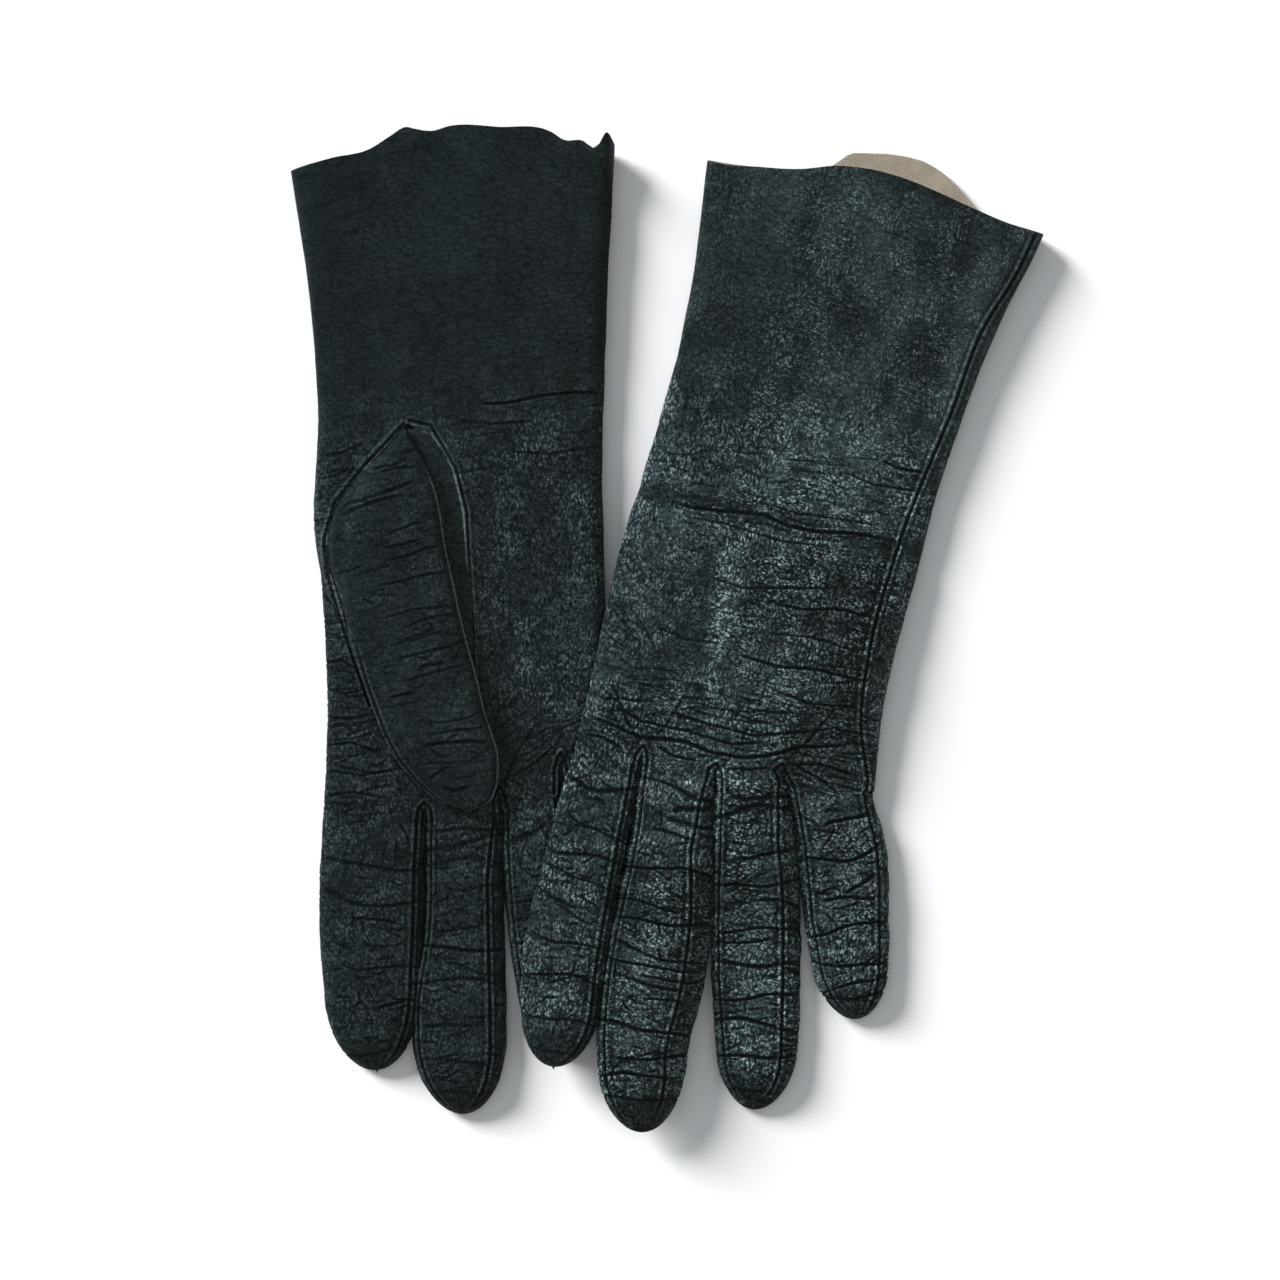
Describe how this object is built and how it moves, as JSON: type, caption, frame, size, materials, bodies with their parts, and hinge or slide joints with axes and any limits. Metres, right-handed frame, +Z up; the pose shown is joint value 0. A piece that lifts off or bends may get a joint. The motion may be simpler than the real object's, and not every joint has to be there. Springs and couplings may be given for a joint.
{
  "type": "pair of leather gloves",
  "caption": "Pair of long unlined leather dress gloves lying flat, one palm up with its thumb folded over, the other palm down across its fingers.",
  "frame": {"origin": "centre of the bounding box's bottom, on the surface the gloves lie on", "axes": "+Y from the fingertips towards the cuffs, +X from the right glove towards the left glove, +Z up"},
  "size_m": [0.2272, 0.3, 0.0138],
  "materials": {
    "glove_leather": "soft pebbled black-green kid leather, semi-gloss",
    "seam_thread": "fine matt black sewing thread"
  },
  "bodies": {
    "left_cuff": {"left_cuff_back": "glove_leather", "left_cuff_palm": "glove_leather", "left_cuff_side_seam": "seam_thread"},
    "left_hand": {"left_hand_back": "glove_leather", "left_hand_palm": "glove_leather", "left_hand_side_seam": "seam_thread", "left_thumb_gusset": "glove_leather"},
    "left_index": {"left_index_back_strip": "glove_leather", "left_index_fourchette_little_side": "glove_leather", "left_index_palm_strip": "glove_leather"},
    "left_little": {"left_little_back_strip": "glove_leather", "left_little_fourchette_thumb_side": "glove_leather", "left_little_palm_strip": "glove_leather"},
    "left_middle": {"left_middle_back_strip": "glove_leather", "left_middle_fourchette_little_side": "glove_leather", "left_middle_fourchette_thumb_side": "glove_leather", "left_middle_palm_strip": "glove_leather"},
    "left_ring": {"left_ring_back_strip": "glove_leather", "left_ring_fourchette_little_side": "glove_leather", "left_ring_fourchette_thumb_side": "glove_leather", "left_ring_palm_strip": "glove_leather"},
    "left_thumb": {"left_thumb_inner_half": "glove_leather", "left_thumb_outer_half": "glove_leather"},
    "right_cuff": {"right_cuff_back": "glove_leather", "right_cuff_palm": "glove_leather", "right_cuff_side_seam": "seam_thread"},
    "right_hand": {"right_hand_back": "glove_leather", "right_hand_palm": "glove_leather", "right_hand_side_seam": "seam_thread", "right_thumb_gusset": "glove_leather"},
    "right_index": {"right_index_back_strip": "glove_leather", "right_index_fourchette_little_side": "glove_leather", "right_index_palm_strip": "glove_leather"},
    "right_little": {"right_little_back_strip": "glove_leather", "right_little_fourchette_thumb_side": "glove_leather", "right_little_palm_strip": "glove_leather"},
    "right_middle": {"right_middle_back_strip": "glove_leather", "right_middle_fourchette_little_side": "glove_leather", "right_middle_fourchette_thumb_side": "glove_leather", "right_middle_palm_strip": "glove_leather"},
    "right_ring": {"right_ring_back_strip": "glove_leather", "right_ring_fourchette_little_side": "glove_leather", "right_ring_fourchette_thumb_side": "glove_leather", "right_ring_palm_strip": "glove_leather"},
    "right_thumb": {"right_thumb_inner_half": "glove_leather", "right_thumb_outer_half": "glove_leather"}
  },
  "joints": [
    {"name": "left_glove_lift_off", "type": "slide", "parent": "right_hand", "child": "left_hand", "axis": [0, 0, 1], "range_m": [0, 0.08]},
    {"name": "right_cuff_fold", "type": "hinge", "parent": "right_hand", "child": "right_cuff", "pos_m": [-0.0621, 0.0694, 0.0069], "axis": [1, 0, 0], "range_deg": [0, 90]},
    {"name": "right_thumb_fold", "type": "hinge", "parent": "right_hand", "child": "right_thumb", "pos_m": [-0.09185, 0.0269, 0.0095], "axis": [-0.3271, -0.945, 0], "range_deg": [0, 110]},
    {"name": "right_index_fold", "type": "hinge", "parent": "right_hand", "child": "right_index", "pos_m": [-0.08985, -0.0571, 0.0055], "axis": [-1, 0, 0], "range_deg": [0, 85]},
    {"name": "right_middle_fold", "type": "hinge", "parent": "right_hand", "child": "right_middle", "pos_m": [-0.06285, -0.0571, 0.0055], "axis": [-1, 0, 0], "range_deg": [0, 85]},
    {"name": "right_ring_fold", "type": "hinge", "parent": "right_hand", "child": "right_ring", "pos_m": [-0.0411, -0.05305, -0.0003], "axis": [0.9127, 0.4087, 0], "range_deg": [0, 60]},
    {"name": "right_little_fold", "type": "hinge", "parent": "right_hand", "child": "right_little", "pos_m": [-0.02435, -0.04555, -0.0003], "axis": [0.9127, 0.4087, 0], "range_deg": [0, 60]},
    {"name": "left_cuff_fold", "type": "hinge", "parent": "left_hand", "child": "left_cuff", "pos_m": [0.04259, 0.06932, 0.0069], "axis": [0.9744, -0.225, 0], "range_deg": [0, 90]},
    {"name": "left_thumb_fold", "type": "hinge", "parent": "left_hand", "child": "left_thumb", "pos_m": [0.00405, 0.03461, 0.0026], "axis": [0.5313, 0.8472, 0], "range_deg": [0, 80]},
    {"name": "left_index_fold", "type": "hinge", "parent": "left_hand", "child": "left_index", "pos_m": [-0.01892, -0.04199, 0.0127], "axis": [-0.9975, 0.0705, 0], "range_deg": [0, 85]},
    {"name": "left_middle_fold", "type": "hinge", "parent": "left_hand", "child": "left_middle", "pos_m": [0.00369, -0.04362, 0.0127], "axis": [-0.9975, 0.0705, 0], "range_deg": [0, 85]},
    {"name": "left_ring_fold", "type": "hinge", "parent": "left_hand", "child": "left_ring", "pos_m": [0.02591, -0.04516, 0.0127], "axis": [-0.9975, 0.0705, 0], "range_deg": [0, 85]},
    {"name": "left_little_fold", "type": "hinge", "parent": "left_hand", "child": "left_little", "pos_m": [0.04814, -0.0467, 0.0127], "axis": [-0.9975, 0.0705, 0], "range_deg": [0, 85]}
  ]
}
